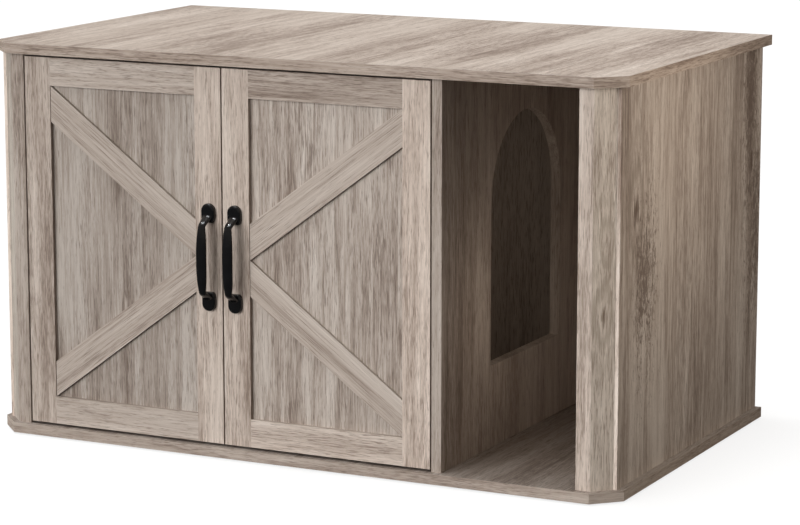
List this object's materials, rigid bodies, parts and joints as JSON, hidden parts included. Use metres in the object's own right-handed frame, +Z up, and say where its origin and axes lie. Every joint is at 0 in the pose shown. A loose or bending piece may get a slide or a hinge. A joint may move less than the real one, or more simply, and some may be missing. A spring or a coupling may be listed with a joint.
{
  "type": "cat litter box cabinet",
  "caption": "Low wood-look cabinet that hides a litter box: paired doors with a cross of braces, an open passage beside them and an arched opening between the two.",
  "frame": {"origin": "on the floor, at the centre of the overall bounding box, handles included", "axes": "+X along the width to the passage end, -Y is the front with the doors, +Z up"},
  "size_m": [1, 0.618, 0.5845],
  "materials": {
    "board": "greige wood-grain laminate, satin",
    "hardboard": "thin board with the same grain, satin",
    "dowel_wood": "plain beech",
    "black_metal": "satin black paint",
    "steel": "nickel-plated steel",
    "cast_metal": "dull cast metal",
    "dark_plastic": "dark matt plastic"
  },
  "bodies": {
    "cabinet": {"top_panel": "board", "base_panel": "board", "side_panel_left": "board", "side_panel_right": "board", "corner_panel_left": "board", "corner_panel_right": "board", "hinge_batten": "board", "divider_panel": "board", "back_panel": "hardboard", "back_nails": "steel", "cam_discs": "cast_metal", "cam_bolts": "steel", "wood_dowels": "dowel_wood", "base_screws": "steel", "floor_pads": "dark_plastic", "catch_housing": "dark_plastic", "catch_magnets": "steel", "catch_screws": "steel", "left_hinge_arms": "steel", "left_hinge_plates": "steel", "left_hinge_plate_screws": "steel", "left_hinge_arm_screws": "steel", "right_hinge_arms": "steel", "right_hinge_plates": "steel", "right_hinge_plate_screws": "steel", "right_hinge_arm_screws": "steel"},
    "left_door": {"left_door_panel": "board", "left_door_hinge_stile": "board", "left_door_meeting_stile": "board", "left_door_top_rail": "board", "left_door_bottom_rail": "board", "left_door_upper_brace": "board", "left_door_lower_brace": "board", "left_door_handle": "black_metal", "left_handle_screws": "steel", "left_hinge_cups": "steel", "left_cup_screws": "steel", "left_strike_plate": "steel", "left_strike_screw": "steel"},
    "right_door": {"right_door_panel": "board", "right_door_hinge_stile": "board", "right_door_meeting_stile": "board", "right_door_top_rail": "board", "right_door_bottom_rail": "board", "right_door_upper_brace": "board", "right_door_lower_brace": "board", "right_door_handle": "black_metal", "right_handle_screws": "steel", "right_hinge_cups": "steel", "right_cup_screws": "steel", "right_strike_plate": "steel", "right_strike_screw": "steel"}
  },
  "joints": [
    {"name": "left_door_hinge", "type": "hinge", "parent": "cabinet", "child": "left_door", "pos_m": [-0.4167, -0.2725, 0.29325], "axis": [0, 0, -1], "range_deg": [0, 95]},
    {"name": "right_door_hinge", "type": "hinge", "parent": "cabinet", "child": "right_door", "pos_m": [0.1992, -0.2725, 0.29325], "axis": [0, 0, 1], "range_deg": [0, 95]}
  ]
}
